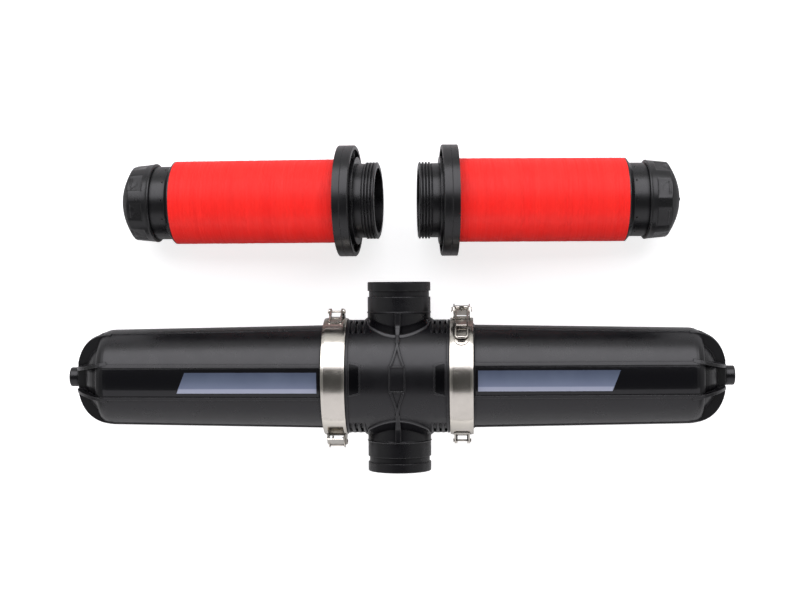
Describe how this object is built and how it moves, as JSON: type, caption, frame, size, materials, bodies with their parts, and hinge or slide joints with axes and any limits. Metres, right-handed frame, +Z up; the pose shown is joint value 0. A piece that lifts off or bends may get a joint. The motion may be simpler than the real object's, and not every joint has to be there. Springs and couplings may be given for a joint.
{
  "type": "irrigation disc filter",
  "caption": "Twin disc filter housing with grooved pipe ports, V-band clamps with toggle latches and domed bowls, and its red disc cartridges taken out beside it.",
  "frame": {"origin": "on the floor under the middle of the whole layout's box", "axes": "+X along the housing to the right bowl, +Y along the ports towards the cartridges, +Z up"},
  "size_m": [0.9385, 0.4596, 0.1655],
  "materials": {
    "black_plastic": "moulded, fine grain",
    "gloss_black": "glossy sheet, bare",
    "steel": "polished stainless",
    "red_discs": "satin",
    "rubber": "matte"
  },
  "bodies": {
    "housing": {"manifold_body": "black_plastic", "left_badge": "gloss_black", "right_badge": "gloss_black", "left_bowl": "black_plastic", "right_bowl": "black_plastic", "left_label": "gloss_black", "right_label": "gloss_black", "left_clamp_front_band": "steel", "left_clamp_back_band": "steel", "left_clamp_hinge_pin": "steel", "left_latch_catch": "steel", "left_latch_bracket": "steel", "left_latch_rivets": "steel", "right_clamp_front_band": "steel", "right_clamp_back_band": "steel", "right_clamp_hinge_pin": "steel", "right_latch_catch": "steel", "right_latch_bracket": "steel", "right_latch_rivets": "steel", "left_cartridge_base": "black_plastic", "left_cartridge_spine": "black_plastic", "left_disc_stack": "red_discs", "right_cartridge_base": "black_plastic", "right_cartridge_spine": "black_plastic", "right_disc_stack": "red_discs"},
    "left_lever": {"left_latch_lever": "steel"},
    "left_bail": {"left_latch_bail": "steel", "left_latch_screw": "steel"},
    "left_plug": {"left_end_plug": "black_plastic", "left_plug_seal": "rubber"},
    "left_sleeve": {"left_pressure_sleeve": "black_plastic"},
    "left_nut": {"left_cap_nut": "black_plastic"},
    "right_lever": {"right_latch_lever": "steel"},
    "right_bail": {"right_latch_bail": "steel", "right_latch_screw": "steel"},
    "right_plug": {"right_end_plug": "black_plastic", "right_plug_seal": "rubber"},
    "right_sleeve": {"right_pressure_sleeve": "black_plastic"},
    "right_nut": {"right_cap_nut": "black_plastic"}
  },
  "joints": [
    {"name": "left_lever_hinge", "type": "hinge", "parent": "housing", "child": "left_lever", "pos_m": [-0.0884, -0.19016, 0.07867], "axis": [1, 0, 0], "range_deg": [0, 95]},
    {"name": "left_bail_hinge", "type": "hinge", "parent": "left_lever", "child": "left_bail", "pos_m": [-0.0884, -0.1931, 0.08503], "axis": [1, 0, 0], "range_deg": [-88, 0]},
    {"name": "left_plug_slide", "type": "slide", "parent": "housing", "child": "left_plug", "axis": [-1, 0, 0], "range_m": [0, 0.026]},
    {"name": "left_sleeve_slide", "type": "slide", "parent": "housing", "child": "left_sleeve", "axis": [-0.9967, 0, -0.0807], "range_m": [0, 0.0081]},
    {"name": "left_nut_turn", "type": "hinge", "parent": "left_sleeve", "child": "left_nut", "pos_m": [-0.34668, 0.15125, 0.05686], "axis": [-0.9967, 0, -0.0807], "range_deg": [0, 720]},
    {"name": "right_lever_hinge", "type": "hinge", "parent": "housing", "child": "right_lever", "pos_m": [0.0884, -0.00334, 0.08683], "axis": [1, 0, 0], "range_deg": [0, 95]},
    {"name": "right_bail_hinge", "type": "hinge", "parent": "right_lever", "child": "right_bail", "pos_m": [0.0884, -0.0004, 0.08048], "axis": [1, 0, 0], "range_deg": [-88, 0]},
    {"name": "right_plug_slide", "type": "slide", "parent": "housing", "child": "right_plug", "axis": [1, 0, 0], "range_m": [0, 0.026]},
    {"name": "right_sleeve_slide", "type": "slide", "parent": "housing", "child": "right_sleeve", "axis": [0.9967, 0, -0.0807], "range_m": [0, 0.0081]},
    {"name": "right_nut_turn", "type": "hinge", "parent": "right_sleeve", "child": "right_nut", "pos_m": [0.34668, 0.15125, 0.05686], "axis": [0.9967, 0, -0.0807], "range_deg": [0, 720]}
  ],
  "couplings": [
    {"joint": "left_bail_hinge", "follows": "left_lever_hinge", "ratio": -0.92},
    {"joint": "left_sleeve_slide", "follows": "left_nut_turn", "m_per_rad": 0.00063662},
    {"joint": "right_bail_hinge", "follows": "right_lever_hinge", "ratio": -0.92},
    {"joint": "right_sleeve_slide", "follows": "right_nut_turn", "m_per_rad": 0.00063662}
  ]
}
